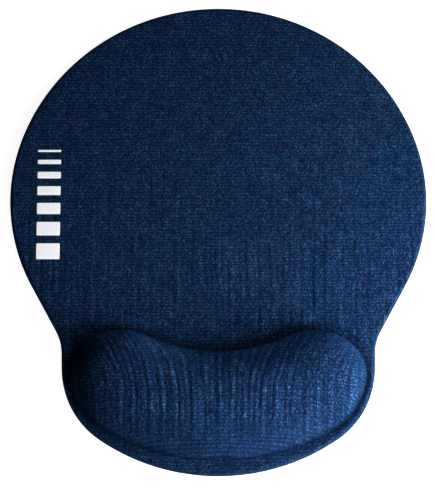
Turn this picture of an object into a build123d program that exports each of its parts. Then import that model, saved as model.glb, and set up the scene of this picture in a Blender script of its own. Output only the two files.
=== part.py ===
"""A mouse pad with a built-in wrist rest.

A round-backed mat with a bean-shaped cushion across its front, laminated from sheets:
a rubber base, an adhesive film, a sponge sheet, a glued-on memory-foam cushion, and one
stretch-knit cover that is turned down over the edge.

Frame: millimetres, +Z up, +Y towards the mat's round back, origin on the underside at the
centre of the outline.
"""
from build123d import *
from math import copysign, radians, sin
import os

# Layers, bottom to top.
BASE_THICKNESS = 1.0
FILM_THICKNESS = 0.2
MAT_FOAM_THICKNESS = 4.0
COVER_THICKNESS = 0.8
COVER_HEM_HEIGHT = 0.3  # gap from the desk to the turned-down edge of the knit

# Heights above the desk, and the roundings of the cover's outside.
REST_HEIGHT = 24.0
REST_CROWN_RADIUS = 15.0
MAT_EDGE_RADIUS = 2.0

# Outlines, as tangent runs from the back point clockwise to the front point.  Each run is
# (radius, turn in degrees), a positive turn bending inwards, or (length, 0) for a straight.
# A last arc, worked out below, closes each half on the line of symmetry.
MAT_RUNS = (
    (115.2, -71.7),  # round back
    (103.2, -46.7),  # widest part
    (28.5, 0),       # straight taper to the waist
    (30.3, 27.2),    # hollow of the waist
    (8.5, 0),        # waist
    (47.7, -54.1),   # front corner
)
REST_RUNS = (
    (88.0, 26.0),    # hollow in the middle of the back
    (30.5, -77.5),   # palm lobe
    (20.5, -44.0),   # end
    (39.0, -54.5),   # front corner
)
FRONT_RIM = 7.2  # flat rim between the rest and the mat's front edge

# A row of bars printed near the left edge, each thinner than the one before it.
MARK_CENTRE = (-93.2, 17.8)
MARK_BAR_LENGTH = 12.8
MARK_BAR_WIDTHS = [9.0 - 1.3 * step for step in range(7)]
MARK_GAP = 4.5
MARK_CORNER_RADIUS = 0.5
INK_DEPTH = 0.15  # how far the print soaks into the knit


def outline(runs, inset=0.0):
    """Face inside a mirror-symmetric outline whose back point is the origin, drawn in by inset."""
    edges, point, heading = [], Vector(0, -inset), 0.0
    for size, turn in runs:
        direction = Vector(1, 0).rotate(Axis.Z, heading)
        if turn:
            edge = JernArc(point, direction, size + copysign(inset, turn), turn)
        else:
            edge = Line(point, point + direction * size)
        edges.append(edge)
        point, heading = edge @ 1, heading + turn
    direction = Vector(1, 0).rotate(Axis.Z, heading)
    closing_radius = point.X / sin(radians(-heading))
    edges.append(JernArc(point, direction, closing_radius, -180 - heading))
    return make_face(edges + [mirror(edge, Plane.YZ) for edge in edges])


def front_of(runs):
    """Y of an outline's front point, from its back point."""
    return outline(runs).bounding_box().min.Y


MAT_BACK = -front_of(MAT_RUNS) / 2
REST_BACK = -MAT_BACK + FRONT_RIM - front_of(REST_RUNS)


def slab(runs, back, inset, bottom, top, edge_radius=0.0):
    """Plate of an outline from one height to another, its upper edge rounded."""
    solid = extrude(Pos(0, back, bottom) * outline(runs, inset), top - bottom)
    if edge_radius:
        solid = fillet(solid.edges().group_by(Axis.Z)[-1], edge_radius)
    return solid


# Heights of the boundaries between the layers.
BASE_TOP = BASE_THICKNESS
MAT_FOAM_BOTTOM = BASE_TOP + FILM_THICKNESS
MAT_FOAM_TOP = MAT_FOAM_BOTTOM + MAT_FOAM_THICKNESS
MAT_TOP = MAT_FOAM_TOP + COVER_THICKNESS
REST_FOAM_BOTTOM = MAT_FOAM_TOP + FILM_THICKNESS
REST_FOAM_TOP = REST_HEIGHT - COVER_THICKNESS


def non_slip_base():
    return slab(MAT_RUNS, MAT_BACK, COVER_THICKNESS, 0, BASE_TOP)


def base_adhesive():
    return slab(MAT_RUNS, MAT_BACK, COVER_THICKNESS, BASE_TOP, MAT_FOAM_BOTTOM)


def mat_foam():
    edge_radius = MAT_EDGE_RADIUS - COVER_THICKNESS
    return slab(MAT_RUNS, MAT_BACK, COVER_THICKNESS, MAT_FOAM_BOTTOM, MAT_FOAM_TOP, edge_radius)


def rest_adhesive():
    return slab(REST_RUNS, REST_BACK, COVER_THICKNESS, MAT_FOAM_TOP, REST_FOAM_BOTTOM)


def rest_foam():
    crown_radius = REST_CROWN_RADIUS - COVER_THICKNESS
    return slab(REST_RUNS, REST_BACK, COVER_THICKNESS, REST_FOAM_BOTTOM, REST_FOAM_TOP, crown_radius)


def printed_mark():
    """Bars laid in a column, flush with the top of the mat."""
    height = sum(MARK_BAR_WIDTHS) + MARK_GAP * (len(MARK_BAR_WIDTHS) - 1)
    x, y = MARK_CENTRE[0], MARK_CENTRE[1] - height / 2
    bars = []
    for width in MARK_BAR_WIDTHS:
        bar = RectangleRounded(MARK_BAR_LENGTH, width, MARK_CORNER_RADIUS)
        bars.append(extrude(Pos(x, y + width / 2, MAT_TOP - INK_DEPTH) * bar, INK_DEPTH))
        y += width + MARK_GAP
    return Compound(children=bars)


def knit_cover(contents):
    """Skin over the mat and the rest, open underneath, with room for the pieces inside it."""
    mat = slab(MAT_RUNS, MAT_BACK, 0, COVER_HEM_HEIGHT, MAT_TOP, MAT_EDGE_RADIUS)
    rest = slab(REST_RUNS, REST_BACK, 0, MAT_FOAM_TOP, REST_HEIGHT, REST_CROWN_RADIUS)
    cover = mat + rest
    for piece in contents:
        cover -= piece
    return cover


pieces = {
    "non_slip_base": non_slip_base(),
    "base_adhesive": base_adhesive(),
    "mat_foam": mat_foam(),
    "rest_adhesive": rest_adhesive(),
    "rest_foam": rest_foam(),
    "printed_mark": printed_mark(),
}
pieces["knit_cover"] = knit_cover(list(pieces.values()))

os.makedirs("parts", exist_ok=True)
for name, piece in pieces.items():
    export_step(piece, f"parts/{name}.step")
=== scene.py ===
"""Looks of a mouse pad with a built-in wrist rest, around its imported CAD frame.

Metres, +Z up, +Y towards the round back of the mat.  The knit cover is one mesh: rings that
follow the outlines of the mat and the rest, with even triangles between them.  Its rest is
puffed up by a cloth simulation.  Everything inside the cover keeps its CAD place.
"""
import bpy
import numpy as np
from math import atan, cos, pi, radians, sin, sqrt
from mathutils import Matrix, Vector
from mathutils.geometry import delaunay_2d_cdt


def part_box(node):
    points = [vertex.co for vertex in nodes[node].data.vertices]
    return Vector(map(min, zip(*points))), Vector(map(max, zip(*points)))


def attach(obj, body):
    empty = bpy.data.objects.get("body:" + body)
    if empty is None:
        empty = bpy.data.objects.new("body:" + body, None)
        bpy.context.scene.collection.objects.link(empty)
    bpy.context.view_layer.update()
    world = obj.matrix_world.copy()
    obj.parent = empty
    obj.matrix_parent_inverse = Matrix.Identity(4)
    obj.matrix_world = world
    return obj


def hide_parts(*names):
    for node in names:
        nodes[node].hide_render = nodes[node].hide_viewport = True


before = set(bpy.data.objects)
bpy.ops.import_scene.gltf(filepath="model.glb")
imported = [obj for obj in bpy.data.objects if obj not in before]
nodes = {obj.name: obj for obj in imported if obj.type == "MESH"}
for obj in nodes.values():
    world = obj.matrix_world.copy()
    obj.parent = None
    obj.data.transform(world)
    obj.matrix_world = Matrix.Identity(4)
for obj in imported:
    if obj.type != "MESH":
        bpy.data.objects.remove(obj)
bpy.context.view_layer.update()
MM = 0.001

# ---------------------------------------------------------------- sizes read from the frame
COVER_LOW, COVER_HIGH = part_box("knit_cover")
MARK_LOW, MARK_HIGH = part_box("printed_mark")
REST_FOAM_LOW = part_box("rest_foam")[0]
BASE_LOW, BASE_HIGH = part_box("non_slip_base")
MAT_TOP = MARK_HIGH.z
COVER_THICKNESS = MAT_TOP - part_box("mat_foam")[1].z
HEM_HEIGHT = COVER_LOW.z
REST_TOP = COVER_HIGH.z

# Outlines as tangent runs from the back point clockwise, in millimetres and degrees: an arc
# is (radius, turn), a positive turn bending inwards, and a straight is (length, 0).
MAT_RUNS = ((115.2, -71.7), (103.2, -46.7), (28.5, 0), (30.3, 27.2), (8.5, 0), (47.7, -54.1))
REST_RUNS = ((88.0, 26.0), (30.5, -77.5), (20.5, -44.0), (39.0, -54.5))


# ---------------------------------------------------------------- outlines
class Outline:
    """Closed mirror-symmetric curve of tangent arcs, with its outward normals."""

    def __init__(self, runs, back_y=None, front_y=None, spacing=1.3 * MM):
        self.arcs, point, heading = [], np.zeros(2), 0.0
        for size, turn in (*runs, (None, None)):
            if size is None:  # the last arc closes the half on the line of symmetry
                turn = -180 - heading
                size = point[0] / sin(radians(-heading)) / MM
            length = size * MM * (abs(radians(turn)) if turn else 1)
            self.arcs.append((point, heading, size * MM, turn, length))
            point, heading = self._step(self.arcs[-1], length), heading + turn
        shift = back_y if back_y is not None else front_y - point[1]
        self.half_length = sum(arc[4] for arc in self.arcs)
        count = round(self.half_length / spacing)
        stations = np.linspace(0, self.half_length, count + 1)
        right = np.array([self._at(s) for s in stations])
        right[:, 1] += shift
        left = right[-2:0:-1] * (-1, 1, -1, 1)
        both = np.concatenate((right, left))
        self.points, self.normals = both[:, :2], both[:, 2:]
        self.along = np.concatenate((stations, 2 * self.half_length - stations[-2:0:-1]))
        self.step = self.half_length / count

    @staticmethod
    def _step(arc, along):
        """Point a distance along one arc."""
        start, heading, size, turn, length = arc
        h = radians(heading)
        if not turn:
            return start + along * np.array((cos(h), sin(h)))
        side = 1 if turn > 0 else -1
        to_centre = side * size * np.array((-sin(h), cos(h)))
        now = h + side * along / size
        return start + to_centre - side * size * np.array((-sin(now), cos(now)))

    def _at(self, station):
        """x, y and outward normal at a distance from the back point."""
        for arc in self.arcs:
            if station <= arc[4] + 1e-9:
                break
            station -= arc[4]
        heading = radians(arc[1] + (arc[3] * station / arc[4] if arc[3] else 0))
        x, y = self._step(arc, station)
        return x, y, -sin(heading), cos(heading)

    def ring(self, inset):
        """The curve's points, moved inwards."""
        return self.points - inset * self.normals

    def nearest(self, points):
        """Distance of each point from the curve, and the station and normal's y nearest to it."""
        gaps = np.linalg.norm(points[:, None] - self.points[None], axis=2)
        index = gaps.argmin(axis=1)
        return gaps[np.arange(len(points)), index], self.along[index], self.normals[index, 1]


MAT = Outline(MAT_RUNS, back_y=COVER_HIGH.y, spacing=1.5 * MM)
REST = Outline(REST_RUNS, front_y=REST_FOAM_LOW.y - COVER_THICKNESS)


# ---------------------------------------------------------------- mesh helpers
INSIDE_WITH_HOLES = 2  # the triangulation's name for what lies between nested loops
MERGE_DISTANCE = 1e-7  # metres within which the triangulation joins points


class Builder:
    """Gathers the points and faces of one mesh, ring by ring."""

    def __init__(self):
        self.parts, self.faces, self.size = [], [], 0

    def add(self, xy, z, **attributes):
        """Adds points and returns their indices."""
        values = {"position": np.column_stack((xy, np.broadcast_to(z, len(xy))))}
        for name, columns in attributes.items():
            values[name] = np.column_stack([np.broadcast_to(c, len(xy)) for c in columns])
        self.parts.append(values)
        self.size += len(xy)
        return np.arange(self.size - len(xy), self.size)

    def gather(self, name):
        """One attribute of all points so far."""
        return np.concatenate([part[name] for part in self.parts])

    def bridge(self, outer, inner):
        """Quads between two clockwise rings of as many points, facing up or out."""
        quads = np.stack((outer, inner, np.roll(inner, -1), np.roll(outer, -1)), axis=1)
        self.faces += quads.tolist()

    def fill(self, loops, inner):
        """Triangles inside the first loop and outside the second, over the inner points too."""
        index = np.concatenate([*loops, inner])
        points = self.gather("position")[index, :2]
        edges, start = [], 0
        for loop in loops:
            edges += [(start + i, start + (i + 1) % len(loop)) for i in range(len(loop))]
            start += len(loop)
        made = delaunay_2d_cdt([Vector(p) for p in points], edges, [],
                               INSIDE_WITH_HOLES, MERGE_DISTANCE)
        source = [origin[0] for origin in made[3]]
        for face in made[2]:
            self.faces.append([int(index[source[v]]) for v in face])

    def build(self, name, smooth=True):
        """The object, with one point attribute for each name but the position."""
        made = mesh_object(name, self.gather("position"), self.faces, smooth)
        for attribute in self.parts[0]:
            if attribute != "position":
                layer = made.data.attributes.new(attribute, "FLOAT_VECTOR", "POINT")
                layer.data.foreach_set("vector", self.gather(attribute).astype(np.float32).ravel())
        return made


def mesh_object(name, points, faces, smooth=True):
    """New object, linked to the scene, with one mesh."""
    mesh = bpy.data.meshes.new(name)
    mesh.from_pydata(np.asarray(points).tolist(), [], faces)
    mesh.polygons.foreach_set("use_smooth", [smooth] * len(mesh.polygons))
    mesh.update()
    made = bpy.data.objects.new(name, mesh)
    bpy.context.scene.collection.objects.link(made)
    return made


def positions(target):
    """A mesh object's points, one row each."""
    flat = np.empty(len(target.data.vertices) * 3, np.float32)
    target.data.vertices.foreach_get("co", flat)
    return flat.reshape(-1, 3).astype(float)


def move_points(target, points):
    """Gives a mesh object's points new places."""
    target.data.vertices.foreach_set("co", np.asarray(points, np.float32).ravel())
    target.data.update()


def lattice(low, high, pitch):
    """Points of a triangular lattice over a rectangle."""
    rows = []
    for k, y in enumerate(np.arange(low[1], high[1], pitch * sqrt(3) / 2)):
        xs = np.arange(low[0] + (k % 2) * pitch / 2, high[0], pitch)
        rows.append(np.column_stack((xs, np.full(len(xs), y))))
    return np.concatenate(rows)


def inside(points, loop):
    """Which points lie inside a closed loop, by counting crossings."""
    x, y = points[:, :1], points[:, 1:]
    x0, y0 = loop.T
    x1, y1 = np.roll(loop, -1, axis=0).T
    spans = (y0 > y) != (y1 > y)
    with np.errstate(divide="ignore", invalid="ignore"):
        crossing = x0 + (y - y0) * (x1 - x0) / (y1 - y0)
    return (spans & (x < crossing)).sum(axis=1) % 2 == 1


def smoothstep(low, high, x):
    """0 up to low and 1 from high on, with a smooth rise between."""
    t = np.clip((x - low) / (high - low), 0, 1)
    return t * t * (3 - 2 * t)


# ---------------------------------------------------------------- shape of the rest
FRONT_GENTLENESS, BACK_GENTLENESS = 2.0, 1.8  # how slowly the bump rises from each side
CROWN_DEPTH = 19.0 * MM  # smoothed distance from the crease at which the bump is full height
ROUNDNESS, FOOT_STEEPNESS = 2.3, 1.55
LEAST_GAP = 0.3 * MM  # keeps the smoothed distance finite at the crease
PLAIN_WITHIN, SMOOTHED_BEYOND = 2 * MM, 6 * MM  # the plain distance gives way between these


def smoothed_distance(points, distance, normal_y):
    """Distance from the crease with no ridge along the middle, weighted front to back."""
    weights = np.interp(REST.normals[:, 1], (-1, 1), (FRONT_GENTLENESS, BACK_GENTLENESS))
    gaps = np.linalg.norm(points[:, None] - REST.points[None], axis=2)
    potential = (weights * REST.step / np.maximum(gaps, LEAST_GAP) ** 3).sum(axis=1)
    deep = np.sqrt(2 / potential)
    shallow = distance / np.sqrt(np.interp(normal_y, (-1, 1), (FRONT_GENTLENESS, BACK_GENTLENESS)))
    blend = smoothstep(PLAIN_WITHIN, SMOOTHED_BEYOND, distance)
    return shallow * (1 - blend) + deep * blend


def bump_height(points, distance, normal_y):
    """Height of the rest above the mat's top."""
    share = np.clip(smoothed_distance(points, distance, normal_y) / CROWN_DEPTH, 0, 1)
    return (REST_TOP - MAT_TOP) * (1 - (1 - share) ** ROUNDNESS) ** (1 / FOOT_STEEPNESS)


# ---------------------------------------------------------------- knit cover
EDGE_RADIUS = 2.0 * MM
EDGE_STEPS, WALL_STEPS, HEM_STEPS = 6, 3, 3
HEM_CURL = 0.45 * MM
GROOVE_DEPTH, GROOVE_WIDTH = 0.6 * MM, 0.8 * MM
REST_INSETS = MM * np.array((0.12, 0.35, 0.7, 1.2, 1.9, 2.8, 3.9, 5.2, 6.6, 8.1, 9.7, 11.4,
                             13.2, 15.0))  # rings inside the crease
REST_OUTSETS = MM * np.array((0.3, 0.7, 1.2, 1.7, 2.1, 2.5, 2.9))  # and outside it
RIM_MARGIN = 0.3 * MM  # taken off the rim's width before the outer rings are fitted to it
WAVINESS = 0.12 * MM  # how far the mat's top rises and falls
WAVES_START = (1 * MM, 12 * MM)  # distances from the rest over which the waviness sets in
DRAPE, DRAPE_LENGTH = 15.0 * MM, 38.0 * MM  # the knit's sideways slide, and how far it reaches
DRAPE_GROWS = (0, 45 * MM)  # distances from the middle over which the slide sets in
DRAPE_FADES = (66 * MM, 80 * MM)  # and over which it dies out again
DRAPE_HELD = 1.2 * MM  # it dies out this far outside the crease as well
TIGHT_REACH = 3 * MM  # how far outside the crease the knit is still stretched
SLACK_FRONT = (-120 * MM, -104 * MM)  # y over which the knit tightens from the front
SLACK_LEFT = (62 * MM, 76 * MM)  # distances to the left over which it slackens fully
SLACK_RIGHT, SLACK_RIGHT_SHARE = (38 * MM, 62 * MM), 0.8  # and to the right, by this share
PUCKERS_START = (45 * MM, 70 * MM)  # distances from the middle over which puckers set in
FOLD_START = (95 * MM, 112 * MM)  # distances towards the front over which the fold sets in
FOLD_DEPTH, FOLD_WIDTH, FOLD_PLACE = 0.35 * MM, 0.45 * MM, 2.1 * MM
FAR = 1.0  # metres: out of the rest's reach
MAT_PITCH, REST_PITCH = 1.7 * MM, 1.5 * MM
CLEARANCE = 0.6  # of a pitch, between a lattice and the ring around it


def wave(points):
    """Slight unevenness of the mat's surface, from -1 to 1, in waves 10 to 30 cm long."""
    x, y = points[:, 0] / MM, points[:, 1] / MM
    return (np.sin(x / 17 + 1.3 * np.sin(y / 29)) + np.sin(y / 21 + x / 47)) / 2


def mat_surface(points, from_rest):
    """Height of the mat's top: a groove pressed round the rest, and a slight unevenness."""
    groove = GROOVE_DEPTH * np.exp(-(from_rest / GROOVE_WIDTH) ** 2)
    away = smoothstep(*WAVES_START, from_rest)
    return MAT_TOP - groove + WAVINESS * wave(points) * away


def drape_shift(points, from_rest):
    """How far the knit's columns slid outwards where it was pulled over the back of the rest."""
    half = REST.points[:REST.points[:, 0].argmax() + 1]
    reach = np.abs(points[:, 0])
    back = np.interp(reach, half[:, 0], half[:, 1])
    along = np.clip((points[:, 1] - back) / DRAPE_LENGTH + 1, 0, 1)
    fan = smoothstep(*DRAPE_GROWS, reach) * (1 - smoothstep(*DRAPE_FADES, reach))
    held = 1 - smoothstep(0, DRAPE_HELD, from_rest)
    return np.sign(points[:, 0]) * DRAPE * fan * along ** 2 * held


def knit_coordinates(points, from_rest=0.0):
    """Where each point of the cover lay on the flat knit, and how tightly it is stretched there."""
    x, y = points.T
    tight = 1 - smoothstep(0, TIGHT_REACH, np.broadcast_to(from_rest, len(points)))
    tight *= smoothstep(*SLACK_FRONT, y)
    tight *= 1 - smoothstep(*SLACK_LEFT, -x)
    tight *= 1 - SLACK_RIGHT_SHARE * smoothstep(*SLACK_RIGHT, x)
    return x - drape_shift(points, from_rest), y, tight


def crease_coordinates(station, depth, points):
    """Station along the crease, distance from it, and how strongly the knit puckers there."""
    pucker = smoothstep(*PUCKERS_START, np.abs(points[:, 0]))
    return station, depth, pucker


def cover_rest(builder):
    """Points and faces of the bump, ring by ring and then a lattice; returns the crease ring."""
    rings = []
    for inset in (0, *REST_INSETS):
        xy = REST.ring(inset)
        depth = np.full(len(xy), inset)
        z = MAT_TOP - GROOVE_DEPTH + bump_height(xy, depth, REST.normals[:, 1])
        rings.append(builder.add(xy, z, knit=knit_coordinates(xy),
                                 crease=crease_coordinates(REST.along, depth, xy)))
    for outer, inner in zip(rings, rings[1:]):
        builder.bridge(outer, inner)
    core = lattice(REST.points.min(axis=0), REST.points.max(axis=0), REST_PITCH)
    core = core[inside(core, REST.ring(REST_INSETS[-1]))]
    depth, station, normal_y = REST.nearest(core)
    keep = depth > REST_INSETS[-1] + CLEARANCE * REST_PITCH
    core, depth, station, normal_y = core[keep], depth[keep], station[keep], normal_y[keep]
    z = MAT_TOP - GROOVE_DEPTH + bump_height(core, depth, normal_y)
    inner = builder.add(core, z, knit=knit_coordinates(core),
                        crease=crease_coordinates(station, depth, core))
    builder.fill([rings[-1]], inner)
    return rings[0]


def rim_fold(points, outset):
    """Depth of the shallow fold that runs beside the crease along the front rim."""
    front = smoothstep(*FOLD_START, -points[:, 1])
    return FOLD_DEPTH * front * np.exp(-((outset - FOLD_PLACE) / FOLD_WIDTH) ** 2)


def cover_mat(builder, crease):
    """Points and faces of the flat of the mat; returns the ring where its edge starts to roll."""
    rim = MAT.nearest(REST.points)[0] - EDGE_RADIUS - RIM_MARGIN
    front = rim[len(rim) // 2]
    share = np.clip(rim / front, 0, 1)  # the rings close up where the rim is narrower
    ring = crease
    for outset in REST_OUTSETS:
        gap = outset * share
        xy = REST.points + gap[:, None] * REST.normals
        z = mat_surface(xy, gap) - rim_fold(xy, outset)
        outer = builder.add(xy, z, knit=knit_coordinates(xy, gap), crease=(0, -gap, 0))
        builder.bridge(outer, ring)
        ring = outer
    edge_xy = MAT.ring(EDGE_RADIUS)
    edge_gap = REST.nearest(edge_xy)[0]
    edge = builder.add(edge_xy, mat_surface(edge_xy, edge_gap),
                       knit=knit_coordinates(edge_xy, edge_gap), crease=(0, -edge_gap, 0))
    flat = lattice(MAT.points.min(axis=0), MAT.points.max(axis=0), MAT_PITCH)
    flat = flat[inside(flat, edge_xy) & ~inside(flat, xy)]
    to_ring = np.linalg.norm(flat[:, None] - xy[None], axis=2).min(axis=1)
    to_edge = MAT.nearest(flat)[0] - EDGE_RADIUS
    flat = flat[np.minimum(to_ring, to_edge) > CLEARANCE * MAT_PITCH]
    from_rest = REST.nearest(flat)[0]
    inner = builder.add(flat, mat_surface(flat, from_rest), knit=knit_coordinates(flat, from_rest),
                        crease=(0, -from_rest, 0))
    builder.fill([edge, ring], inner)
    return edge


def cover_wall(builder, edge):
    """The edge rolled over, the wall, and the hem curled under."""
    start_z = builder.gather("position")[edge, 2]
    roll = [(EDGE_RADIUS * (1 - sin(t)), EDGE_RADIUS * (1 - cos(t)), EDGE_RADIUS * t)
            for t in np.linspace(0, pi / 2, EDGE_STEPS + 1)[1:]]
    wall_height = MAT_TOP - EDGE_RADIUS - HEM_HEIGHT - HEM_CURL
    wall = [(0, EDGE_RADIUS + wall_height * t, EDGE_RADIUS * pi / 2 + wall_height * t)
            for t in np.linspace(0, 1, WALL_STEPS + 1)[1:]]
    reach = EDGE_RADIUS * pi / 2 + wall_height
    hem = [(HEM_CURL * (1 - cos(t)), MAT_TOP - HEM_HEIGHT - HEM_CURL * (1 - sin(t)),
            reach + HEM_CURL * t) for t in np.linspace(0, pi / 2, HEM_STEPS + 1)[1:]]
    ring = edge
    for inset, drop, travel in (*roll, *wall, *hem):
        xy = MAT.ring(inset)
        flat = MAT.ring(EDGE_RADIUS) + MAT.normals * travel
        settle = 1 - smoothstep(0, EDGE_RADIUS, drop)
        z = MAT_TOP - drop + (start_z - MAT_TOP) * settle
        lower = builder.add(xy, z, knit=knit_coordinates(flat, FAR), crease=(0, -FAR, 0))
        builder.bridge(lower, ring)
        ring = lower


def knit_cover():
    """The cover, and how many points, faces and crease points its bump has; these come first."""
    builder = Builder()
    crease = cover_rest(builder)
    rest_points, rest_faces = builder.size, len(builder.faces)
    edge = cover_mat(builder, crease)
    cover_wall(builder, edge)
    cover = builder.build("knit_cover_skin")
    return cover, rest_points, rest_faces, len(crease)


# ---------------------------------------------------------------- puffing up the rest
PUFF_START = 0.93  # share of its height that the rest has before it is blown up
PUFF_FRAMES, PUFF_PRESSURE = 20, 300.0
PUFF_LIMIT = 4.0 * MM  # the furthest that a point may be blown
KNIT_STIFFNESS, KNIT_MASS = 5.0, 0.3
KNIT_SHEAR, KNIT_BENDING = KNIT_STIFFNESS / 2, KNIT_STIFFNESS / 10
CLOTH_QUALITY = 6  # steps in each frame
HELD_RINGS = 2  # the crease itself and the first ring inside it


def make_cloth(balloon, held):
    """Makes a balloon a knit under pressure that can't move where it is held."""
    cloth = balloon.modifiers.new("puff", "CLOTH")
    knit = cloth.settings
    knit.vertex_group_mass = held.name
    knit.use_pressure, knit.uniform_pressure_force = True, PUFF_PRESSURE
    knit.tension_stiffness = knit.compression_stiffness = KNIT_STIFFNESS
    knit.shear_stiffness, knit.bending_stiffness = KNIT_SHEAR, KNIT_BENDING
    knit.mass, knit.quality = KNIT_MASS, CLOTH_QUALITY
    knit.effector_weights.gravity = 0
    cloth.collision_settings.use_collision = False
    cloth.point_cache.frame_start, cloth.point_cache.frame_end = 1, PUFF_FRAMES


def puff(cover, rest_points, rest_faces, crease_count):
    """Blows up the knit over the rest, held along its crease, as its foam does."""
    points = positions(cover)
    foot = points[:rest_points, 2].min()
    points[:rest_points, 2] = foot + (points[:rest_points, 2] - foot) * PUFF_START
    faces = [list(face.vertices) for face in cover.data.polygons[:rest_faces]]
    balloon = mesh_object("rest_balloon", points[:rest_points], faces)
    held = balloon.vertex_groups.new(name="crease")
    held.add(list(range(HELD_RINGS * crease_count)), 1.0, "REPLACE")
    make_cloth(balloon, held)
    for step in range(1, PUFF_FRAMES + 1):
        bpy.context.scene.frame_set(step)
    puffed = positions(balloon.evaluated_get(bpy.context.evaluated_depsgraph_get()))
    bpy.context.scene.frame_set(1)
    bpy.data.objects.remove(balloon)
    travel = puffed - points[:rest_points]
    length = np.linalg.norm(travel, axis=1, keepdims=True)
    points[:rest_points] += travel * np.minimum(1, PUFF_LIMIT / np.maximum(length, PUFF_LIMIT))
    height = points[:rest_points, 2] - foot
    points[:rest_points, 2] = foot + height * (REST_TOP - foot) / height.max()
    move_points(cover, points)


# ---------------------------------------------------------------- materials
class Material:
    """Short calls that build one procedural material."""

    def __init__(self, name, **uniform):
        self.material = bpy.data.materials.new(name)
        self.material.use_nodes = True
        self.tree = self.material.node_tree
        self.shader = self.tree.nodes["Principled BSDF"]
        for socket, value in uniform.items():
            self.shader.inputs[socket.replace("_", " ")].default_value = value

    def node(self, kind, *inputs, **settings):
        """A node; inputs go to its sockets in order, or by name in a dict."""
        made = self.tree.nodes.new("ShaderNode" + kind)
        for key, value in settings.items():
            setattr(made, key, value)
        pairs = inputs[0].items() if inputs and isinstance(inputs[0], dict) else enumerate(inputs)
        for key, value in pairs:
            self.plug(value, made.inputs[key])
        return made

    def plug(self, value, socket):
        """Links a socket or sets a value; None leaves the socket alone."""
        if value is None:
            return
        if isinstance(value, bpy.types.NodeSocket):
            self.tree.links.new(value, socket)
        else:
            socket.default_value = value

    def math(self, operation, *inputs):
        """Result of one operation on numbers."""
        return self.node("Math", *inputs, operation=operation).outputs[0]

    def split(self, vector):
        """The three numbers of a vector."""
        return self.node("SeparateXYZ", vector).outputs

    def join(self, *parts):
        """The vector of two or three numbers."""
        return self.node("CombineXYZ", *parts).outputs[0]

    def noise(self, vector, scale, detail=2.0):
        """Cloudy noise, about 0.5 on average."""
        made = self.node("TexNoise", {"Vector": vector, "Scale": scale, "Detail": detail})
        return made.outputs[0]

    def random(self, vector):
        """White noise, the same all over one whole-number cell."""
        return self.node("TexWhiteNoise", vector).outputs[0]

    def wave(self, place, pitch):
        """Sine wave across a coordinate, one cycle each pitch."""
        return self.math("SINE", self.math("MULTIPLY", place, 2 * pi / pitch))

    def arch(self, half):
        """Round top over a ping-pong from 0 to a half and back: 1 in its middle, 0 at its ends."""
        off = self.math("MULTIPLY_ADD", half, 4.0, -1.0)
        return self.math("SUBTRACT", 1.0, self.math("POWER", self.math("ABSOLUTE", off), 2.0))

    def between(self, value, low, high, new_low=0.0, new_high=1.0):
        """A value from low to high mapped onto the new range, and held beyond it."""
        return self.node("MapRange", value, low, high, new_low, new_high).outputs[0]

    def ramp(self, value, *stops):
        """Colour by value: each stop is (place, (red, green, blue))."""
        made = self.node("ValToRGB", value)
        elements = made.color_ramp.elements
        while len(elements) < len(stops):
            elements.new(0.5)
        for element, (place, colour) in zip(elements, stops):
            element.position, element.color = place, (*colour, 1)
        return made.outputs[0]

    def scale_colour(self, colour, factor):
        """Colour times a number."""
        made = self.node("VectorMath", colour, operation="SCALE")
        self.plug(factor, made.inputs["Scale"])
        return made.outputs[0]

    def bump(self, height, distance, strength, normal=None):
        """Normal roughened by a height of 0 to 1 that stands for a distance."""
        made = self.node("Bump", {"Height": height, "Distance": distance, "Strength": strength,
                                  "Normal": normal})
        return made.outputs[0]

    def finish(self, colour=None, normal=None, roughness=None):
        """Plugs in the shader's varying inputs and returns the material."""
        for name, value in (("Base Color", colour), ("Normal", normal), ("Roughness", roughness)):
            self.plug(value, self.shader.inputs[name])
        return self.material


WALE, COURSE = 0.8 * MM, 0.6 * MM  # width and height of one stitch
COLUMN_WANDER = 1.5  # in stitches, as the drift goes through its range
RIB, WIDE_RIB = 3.3 * MM, 5.9 * MM  # narrow and wide streaks along the columns
RIB_WANDER, WIDE_WANDER = 4 * MM, 6 * MM
RIBS_SHOW, FAINTEST_RIBS = (60 * MM, -20 * MM), 0.15  # y over which the mat's ribs come up
COURSE_LINE, LINE_WANDER = 1.8 * MM, 1.5 * MM  # every third row of stitches shows as a line
PLEAT, PLEAT_WANDER = 2.0 * MM, 6 * MM  # puckers round the ends of the rest
PLEAT_FROM, PLEAT_UNTIL = (0.0, 3 * MM), (14 * MM, 6 * MM)  # depths where they come and go
FRONT_STRIP = (-126 * MM, -106 * MM)  # y over which ribs and the painted shadow band die out to the front
CREASE_SHADE_REACH, CREASE_SHADE_SHARE = 1.1 * MM, 0.9  # painted shade on both sides of the crease
SHADOW_BAND_OUT, SHADOW_BAND_IN, SHADOW_BAND_SHARE = -6 * MM, 2.5 * MM, 0.65  # painted shadow band along the rest's back and ends
EVEN_AND_LIT_TONE, EVEN_AND_LIT_SHARE = 0.69, 0.6  # what the yarn's tone tends to beside the front crease: evener, and lighter as a painted highlight on the front slope
EVEN_AND_LIT_FROM, EVEN_AND_LIT_UNTIL = (-1 * MM, 2 * MM), (15 * MM, 4 * MM)  # depths where this comes and goes
EVEN_AND_LIT_FRONT = (-95 * MM, -118 * MM)  # y over which it comes up
STRETCH_AND_HIGHLIGHT_GAIN = 0.25  # how much lighter the stretched knit is: partly its stretched yarn, partly painted highlight for the light the rest's slopes catch
NAVY = ((0.20, (0.0014, 0.0050, 0.0170)), (0.50, (0.0023, 0.0080, 0.0260)),
        (0.66, (0.0043, 0.0136, 0.0430)), (0.78, (0.0170, 0.0430, 0.1000)))
DYE_LOTS = ((0.35, (1.25, 0.97, 1.0)), (0.65, (0.75, 1.03, 1.0)))


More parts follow.
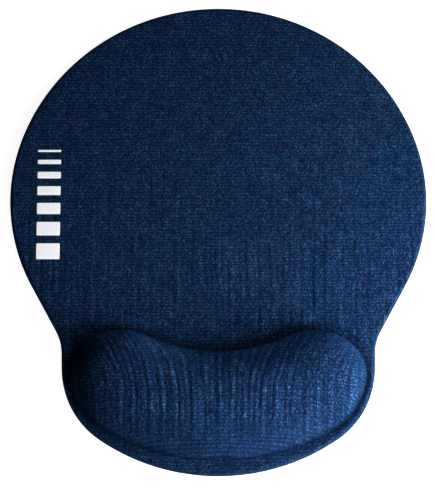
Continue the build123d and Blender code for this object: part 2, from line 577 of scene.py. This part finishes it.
def knit_stitches(m, x, y, drift):
    """Height of the chevron stitches, and one whole-number cell for each leg of yarn."""
    column = m.math("ADD", m.math("DIVIDE", x, WALE), m.math("MULTIPLY", drift, COLUMN_WANDER))
    across = m.math("PINGPONG", column, 0.5)
    row = m.math("ADD", m.math("DIVIDE", y, COURSE), m.math("MULTIPLY", across, 1.2))
    legs = m.math("MULTIPLY", column, 2.0)
    leg = m.arch(m.math("PINGPONG", legs, 0.5))
    loop = m.arch(m.math("PINGPONG", row, 0.5))
    stitch = m.math("MULTIPLY", m.math("MULTIPLY_ADD", leg, 0.75, 0.25),
                    m.math("MULTIPLY_ADD", loop, 0.65, 0.35))
    return stitch, m.join(m.math("FLOOR", legs), m.math("FLOOR", row))


def yarn_colour(m, x, y, depth, yarn_cell):
    """Heathered yarn, evener beside the front crease, and lighter there as a painted highlight."""
    heather = m.noise(m.join(m.math("MULTIPLY", x, 0.6), y), 1800.0, 2.0)
    tone = m.math("ADD", m.math("MULTIPLY", m.random(yarn_cell), 0.6),
                  m.math("MULTIPLY", heather, 0.4))
    # evener yarn, lightened as a painted highlight on the rest's front slope
    even_and_lit = m.math("MULTIPLY", m.between(depth, *EVEN_AND_LIT_FROM), m.between(depth, *EVEN_AND_LIT_UNTIL))
    even_and_lit = m.math("MULTIPLY", even_and_lit, m.between(y, *EVEN_AND_LIT_FRONT, 0.0, EVEN_AND_LIT_SHARE))
    tone = m.node("Mix", {"Factor": even_and_lit, "A": tone, "B": EVEN_AND_LIT_TONE}).outputs[0]
    return m.ramp(tone, *NAVY)


def knit_ribs(m, knit, drift):
    """Streaks along the columns: strong on the rest, in faint patches on the mat behind it."""
    x, y, tight = m.split(knit)
    loose_streak = m.noise(m.join(x, m.math("MULTIPLY", y, 0.07)), 330.0, 2.0)
    streak = m.between(loose_streak, 0.35, 0.65, -1.0, 1.0)
    narrow = m.wave(m.math("MULTIPLY_ADD", drift, RIB_WANDER, x), RIB)
    wide = m.wave(m.math("MULTIPLY_ADD", drift, WIDE_WANDER, x), WIDE_RIB)
    crest = m.math("ADD", m.math("MULTIPLY", m.math("ADD", narrow, streak), 0.2),
                   m.math("MULTIPLY_ADD", wide, 0.15, 0.5))
    sharp = m.math("POWER", m.math("MAXIMUM", crest, 0.0), 2.0)
    on_rest = m.math("MULTIPLY_ADD", sharp, 2.2, -0.6)
    patch = m.between(m.noise(knit, 26.0, 1.0), 0.4, 0.6)
    low_mat = m.math("MULTIPLY", m.between(y, *RIBS_SHOW, FAINTEST_RIBS, 1.0),
                     m.between(y, *FRONT_STRIP))
    on_mat = m.math("MULTIPLY", m.math("MULTIPLY", m.math("SUBTRACT", crest, 0.5), low_mat),
                    m.math("MULTIPLY_ADD", patch, 0.9, 0.5))
    ribs = m.node("Mix", {"Factor": tight, "A": on_mat, "B": on_rest}).outputs[0]
    broken = m.between(m.noise(knit, 260.0, 1.0), 0.3, 0.7, 0.4, 1.6)
    return m.math("MULTIPLY", ribs, broken)


def knit_shade(m, knit, drift, stitch, ribs):
    """Brightness of the fabric from its ribs, rows, stitches, blotches and tightness, with painted
    light and shade on the ribs and stitches.
    """
    _, y, tight = m.split(knit)
    course = m.wave(m.math("MULTIPLY_ADD", drift, LINE_WANDER, y), COURSE_LINE)
    dash = m.math("MULTIPLY", course, m.math("MULTIPLY_ADD", ribs, 0.5, 0.33))
    # ribs: painted highlight on their crests, painted shade between them
    shade = m.math("MULTIPLY_ADD", ribs, 0.9, m.math("ADD", dash, 1.1))
    # painted shade in the hollows between the stitches
    shade = m.math("MULTIPLY", shade, m.math("MULTIPLY_ADD", stitch, 0.9, 0.5))
    blotch = m.between(m.noise(knit, 130.0, 3.0), 0.3, 0.7, 0.75, 1.25)
    shade = m.math("MULTIPLY", shade, blotch)
    # the lift where the knit is tight is partly a painted highlight on the rest's slopes
    return m.math("MULTIPLY", shade, m.math("MULTIPLY_ADD", tight, STRETCH_AND_HIGHLIGHT_GAIN, 1.0))


def crease_shade(m, y, depth):
    """Painted shade in the crease, and a painted shadow band along the back and ends of the rest.
    """
    # painted shade in the crease, fading out to either side
    crease_occlusion = m.math("SUBTRACT", 1.0, m.math("DIVIDE", m.math("ABSOLUTE", depth), CREASE_SHADE_REACH))
    crease_occlusion = m.math("MULTIPLY", m.math("MAXIMUM", crease_occlusion, 0.0), CREASE_SHADE_SHARE)
    # painted shadow band along the back and ends of the rest
    shadow_band = m.math("MULTIPLY", m.between(depth, SHADOW_BAND_OUT, 0.0), m.between(depth, SHADOW_BAND_IN, 0.0))
    shadow_band = m.math("MULTIPLY", shadow_band, m.between(y, *FRONT_STRIP))
    return m.math("MULTIPLY", m.math("SUBTRACT", 1.0, crease_occlusion),
                  m.math("MULTIPLY_ADD", shadow_band, -SHADOW_BAND_SHARE, 1.0))


def knit_pleats(m, drift, station, depth, pucker):
    """Height of the puckers that run into the crease round the ends of the rest."""
    pleat = m.wave(m.math("MULTIPLY_ADD", drift, PLEAT_WANDER, station), PLEAT)
    band = m.math("MULTIPLY", m.between(depth, *PLEAT_FROM), m.between(depth, *PLEAT_UNTIL))
    return m.math("MULTIPLY", pleat, m.math("MULTIPLY", band, pucker))


def knit_material():
    """Heathered navy stockinette: chevron stitches, flecked yarn, ribs where it is stretched."""
    m = Material("heathered_knit", Roughness=0.9, Specular_IOR_Level=0.0,
                 Sheen_Weight=0.15, Sheen_Roughness=0.4, Sheen_Tint=(0.08, 0.38, 1.0, 1))
    knit = m.node("Attribute", attribute_name="knit").outputs["Vector"]
    crease = m.node("Attribute", attribute_name="crease").outputs["Vector"]
    x, y, _ = m.split(knit)
    station, depth, pucker = m.split(crease)
    drift = m.math("SUBTRACT", m.noise(knit, 45.0, 1.0), 0.5)

    stitch, yarn_cell = knit_stitches(m, x, y, drift)
    ribs = knit_ribs(m, knit, drift)
    shade = m.math("MULTIPLY", knit_shade(m, knit, drift, stitch, ribs),
                   crease_shade(m, y, depth))
    colour = m.scale_colour(yarn_colour(m, x, y, depth, yarn_cell), shade)
    elsewhere = m.node("VectorMath", knit, (1, 1, 0), operation="ADD").outputs[0]
    dye_lot = m.ramp(m.noise(elsewhere, 210.0, 2.0), *DYE_LOTS)
    colour = m.node("VectorMath", colour, dye_lot, operation="MULTIPLY").outputs[0]

    normal = m.bump(stitch, 0.2 * MM, 0.8)
    normal = m.bump(ribs, 0.3 * MM, 0.8, normal)
    normal = m.bump(knit_pleats(m, drift, station, depth, pucker), 0.3 * MM, 0.8, normal)
    return m.finish(colour, normal)


def print_material():
    """Matt white ink with the knit just showing through."""
    m = Material("heat_transfer_print", Roughness=0.6, Specular_IOR_Level=0.3)
    place = m.node("TexCoord").outputs["Object"]
    x, y, _ = m.split(place)
    weave = m.math("MULTIPLY", m.math("SINE", m.math("MULTIPLY", x, 2 * pi / WALE)),
                   m.math("SINE", m.math("MULTIPLY", y, 2 * pi / COURSE)))
    speck = m.noise(place, 1500.0, 2.0)
    colour = m.ramp(speck, (0.3, (0.80, 0.84, 0.92)), (0.55, (0.92, 0.94, 0.97)))
    return m.finish(colour, m.bump(weave, 0.05 * MM, 0.5))


def foam_material(name, dark, light, cell, depth):
    """Foam: open or closed cells of one size, in two tones, the darker one painted shade in the
    pores.
    """
    m = Material(name, Roughness=0.95)
    place = m.node("TexCoord").outputs["Object"]
    pores = m.node("TexVoronoi", {"Vector": place, "Scale": 1 / cell}).outputs["Distance"]
    cloud = m.noise(place, 60.0, 3.0)
    # darker in the pores' hollows: painted shade; the cloud is the foam's own uneven tone
    colour = m.ramp(m.math("ADD", m.math("MULTIPLY", pores, 0.6), m.math("MULTIPLY", cloud, 0.4)),
                    (0.2, dark), (0.6, light))
    return m.finish(colour, m.bump(pores, depth, 0.8))


def film_material():
    """Hot-melt film: slightly cloudy, with a fine dot pattern."""
    m = Material("adhesive_film", Roughness=0.4)
    place = m.node("TexCoord").outputs["Object"]
    cloud = m.noise(place, 150.0, 3.0)
    grid = m.node("TexVoronoi", {"Vector": place, "Scale": 700.0, "Randomness": 0.2})
    colour = m.ramp(cloud, (0.35, (0.55, 0.50, 0.36)), (0.65, (0.72, 0.68, 0.52)))
    return m.finish(colour, m.bump(grid.outputs["Distance"], 0.03 * MM, 0.5))


def rubber_material():
    """Black rubber with a dusty bloom and a fine moulded grain."""
    m = Material("base_rubber", Specular_IOR_Level=0.35)
    place = m.node("TexCoord").outputs["Object"]
    bloom = m.noise(place, 40.0, 4.0)
    grain = m.noise(place, 3500.0, 2.0)
    colour = m.ramp(bloom, (0.35, (0.010, 0.010, 0.011)), (0.7, (0.022, 0.022, 0.024)))
    roughness = m.between(bloom, 0.3, 0.7, 0.55, 0.8)
    return m.finish(colour, m.bump(grain, 0.04 * MM, 0.5), roughness)


def floor_material():
    """Pale tabletop that glows, to show as near white."""
    m = Material("pale_floor", Roughness=0.9, Specular_IOR_Level=0.1, Emission_Strength=0.92,
                 Emission_Color=(1, 1, 1, 1))
    place = m.node("TexCoord").outputs["Object"]
    colour = m.ramp(m.noise(place, 5.0, 2.0), (0.3, (0.50, 0.50, 0.50)), (0.7, (0.52, 0.52, 0.52)))
    return m.finish(colour)


# ---------------------------------------------------------------- other pieces
MARK_WIDTHS = [(9.0 - 1.3 * step) * MM for step in range(7)]  # seven bars, ever narrower
MARK_GAP, MARK_CORNER = 4.5 * MM, 0.5 * MM
INK_RISE, INK_BEVEL = 0.08 * MM, 0.12 * MM
GRIP_DEPTH, GRIP_PITCH, GRIP_RADIUS = 0.35 * MM, 4.0 * MM, 1.3 * MM
GRIP_TAPER = 0.75  # a nub's tip against its root
GRIP_MARGIN = 1.6 * GRIP_RADIUS  # least distance of a nub's centre from the sheet's edge
GRIP_ROOT = 0.05 * MM  # how deep a nub starts inside the sheet
GRIP_SIDES = 8


def rounded_rectangle(centre, width, height, radius, corner_points=5):
    """Loop of points, clockwise."""
    points = []
    for quarter in range(4):
        side_x, side_y = ((1, 1), (-1, 1), (-1, -1), (1, -1))[quarter]
        for t in np.linspace(0, pi / 2, corner_points):
            a = quarter * pi / 2 + t
            points.append((centre[0] + side_x * (width / 2 - radius) + radius * cos(a),
                           centre[1] + side_y * (height / 2 - radius) + radius * sin(a)))
    return np.array(points[::-1])


def printed_mark():
    """Plain bars, slightly proud of the knit, with bevelled edges."""
    builder = Builder()
    length, x = MARK_HIGH.x - MARK_LOW.x, (MARK_HIGH.x + MARK_LOW.x) / 2
    y = MARK_LOW.y
    for width in MARK_WIDTHS:
        centre = (x, y + width / 2)
        rings = []
        for shrink, rise in ((0, -INK_RISE), (0, INK_RISE / 2), (INK_BEVEL, INK_RISE)):
            xy = rounded_rectangle(centre, length - 2 * shrink, width - 2 * shrink,
                                   MARK_CORNER - shrink)
            rings.append(builder.add(xy, mat_surface(xy, np.full(len(xy), FAR)) + rise))
        for lower, upper in zip(rings, rings[1:]):
            builder.bridge(lower, upper)
        builder.faces += [rings[-1][::-1].tolist(), rings[0].tolist()]
        y += width + MARK_GAP
    return builder.build("printed_bars", smooth=False)


def memory_foam(cover, rest_points, rest_faces, crease_count):
    """The cushion that fills the bump, a cover's thickness inside it, closed underneath."""
    normals = np.array([v.normal for v in cover.data.vertices[:rest_points]])
    points = positions(cover)[:rest_points] - COVER_THICKNESS * normals
    bottom = REST_FOAM_LOW.z
    points[:, 2] = np.maximum(points[:, 2], bottom)
    foot = np.column_stack((REST.ring(COVER_THICKNESS), np.full(crease_count, bottom)))
    points[:crease_count] = foot
    faces = [list(face.vertices) for face in cover.data.polygons[:rest_faces]]
    faces.append(list(range(crease_count)))
    return mesh_object("memory_foam_cushion", points, faces)


def grip_base():
    """The rubber sheet, with round nubs moulded on its underside."""
    builder = Builder()
    outline = MAT.ring(COVER_THICKNESS)
    upper = builder.add(outline, BASE_HIGH.z)
    lower = builder.add(outline, BASE_LOW.z + GRIP_DEPTH)
    builder.bridge(lower, upper)
    builder.faces += [upper[::-1].tolist(), lower.tolist()]
    turns = -np.arange(GRIP_SIDES) * 2 * pi / GRIP_SIDES
    circle = np.column_stack((np.cos(turns), np.sin(turns)))
    centres = lattice(outline.min(axis=0), outline.max(axis=0), GRIP_PITCH)
    centres = centres[inside(centres, outline)]
    centres = centres[MAT.nearest(centres)[0] > COVER_THICKNESS + GRIP_MARGIN]
    for centre in centres:
        root = builder.add(centre + circle * GRIP_RADIUS, BASE_LOW.z + GRIP_DEPTH + GRIP_ROOT)
        tip = builder.add(centre + circle * GRIP_RADIUS * GRIP_TAPER, BASE_LOW.z)
        builder.bridge(root, tip)
        builder.faces += [root.tolist(), tip[::-1].tolist()]
    return builder.build("grip_base", smooth=False)


# ---------------------------------------------------------------- assembly
cover, rest_points, rest_faces, crease_count = knit_cover()
puff(cover, rest_points, rest_faces, crease_count)
cushion = memory_foam(cover, rest_points, rest_faces, crease_count)
shell = cover.modifiers.new("thickness", "SOLIDIFY")
shell.thickness, shell.offset = COVER_THICKNESS, -1
mark = printed_mark()
base = grip_base()

for piece, node, slot, material in (
    (cover, "knit_cover", "knit", knit_material()),
    (mark, "printed_mark", "print", print_material()),
    (cushion, "rest_foam", "memory_foam",
     foam_material("memory_foam", (0.62, 0.56, 0.42), (0.80, 0.75, 0.60), 0.9 * MM, 0.3 * MM)),
    (base, "non_slip_base", "base_rubber", rubber_material()),
):
    piece.data.materials.append(material)
    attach(piece, "root")
    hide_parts(node)

sponge = foam_material("sponge_rubber", (0.012, 0.012, 0.013), (0.03, 0.03, 0.032),
                       0.5 * MM, 0.1 * MM)
film = film_material()
for name, material in (("mat_foam", sponge), ("base_adhesive", film), ("rest_adhesive", film)):
    nodes[name].data.materials.clear()
    nodes[name].data.materials.append(material)


# ---------------------------------------------------------------- floor, light and camera
SWEEP_RADIUS, SWEEP_BEND, SWEEP_HEIGHT = 2.5, 0.8, 3.0
SWEEP_SIDES, BEND_STEPS = 48, 8
HUB_RADIUS = 0.01  # of the small disc in the floor's middle
LIT_POINT = Vector((0, -0.03, 0))
WORLD_STRENGTH = 0.05
CAMERA_ELEVATION = radians(74)
CAMERA_DISTANCE = 1.5
FOCAL_LENGTH = 5.476  # in heights of the view
CAMERA_AIM = Vector((-0.0002, -0.0075, 0.003))


def sweep():
    """Round floor that curves up into a wall all round, as a studio sweep does."""
    profile = [(HUB_RADIUS, 0), (SWEEP_RADIUS, 0)]  # radius and height
    profile += [(SWEEP_RADIUS + SWEEP_BEND * sin(t), SWEEP_BEND * (1 - cos(t)))
                for t in np.linspace(0, pi / 2, BEND_STEPS + 1)[1:]]
    profile.append((SWEEP_RADIUS + SWEEP_BEND, SWEEP_HEIGHT))
    turns = -np.linspace(0, 2 * pi, SWEEP_SIDES, endpoint=False)
    circle = np.column_stack((np.cos(turns), np.sin(turns)))
    builder = Builder()
    rings = [builder.add(circle * radius, height) for radius, height in profile]
    for inner, outer in zip(rings, rings[1:]):
        builder.bridge(outer, inner)
    builder.faces.append(rings[0][::-1].tolist())
    return builder.build("floor")


floor = sweep()
floor.data.materials.append(floor_material())
floor.visible_diffuse = floor.visible_glossy = floor.visible_shadow = False  # lights nothing


def area_light(name, azimuth, elevation, distance, size, strength):
    """Round softbox, its angles in degrees; strength 1 lights white card facing it to white."""
    turn, rise = radians(azimuth), radians(elevation)
    way = Vector((cos(rise) * cos(turn), cos(rise) * sin(turn), sin(rise)))
    light = bpy.data.lights.new(name, "AREA")
    light.shape, light.size, light.energy = "DISK", size, strength * (pi * distance) ** 2
    made = bpy.data.objects.new(name, light)
    made.location = LIT_POINT + way * distance
    made.rotation_euler = (-way).to_track_quat("-Z", "Y").to_euler()
    bpy.context.scene.collection.objects.link(made)


for name, azimuth, elevation, distance, size, strength in (
    ("key", 317, 27, 0.38, 0.18, 1.58),
    ("side", 30, 32, 0.34, 0.16, 0.70),
    ("kicker", 338, 10, 0.30, 0.12, 3.00),
    ("front", 278, 25, 0.50, 0.25, 0.40),
):
    area_light(name, azimuth, elevation, distance, size, strength)

world = bpy.data.worlds.new("studio")
world.use_nodes = True
backdrop = world.node_tree.nodes["Background"]
backdrop.inputs["Color"].default_value = (1, 1, 1, 1)
backdrop.inputs["Strength"].default_value = WORLD_STRENGTH
scene = bpy.context.scene
scene.world = world
scene.view_settings.view_transform = "Standard"

camera_data = bpy.data.cameras.new("camera")
camera_data.angle = 2 * atan(0.5 / FOCAL_LENGTH)
camera = bpy.data.objects.new("camera", camera_data)
towards = Vector((0, cos(CAMERA_ELEVATION), -sin(CAMERA_ELEVATION)))
camera.location = CAMERA_AIM - towards * CAMERA_DISTANCE
camera.rotation_euler = towards.to_track_quat("-Z", "Y").to_euler()
scene.collection.objects.link(camera)
scene.camera = camera
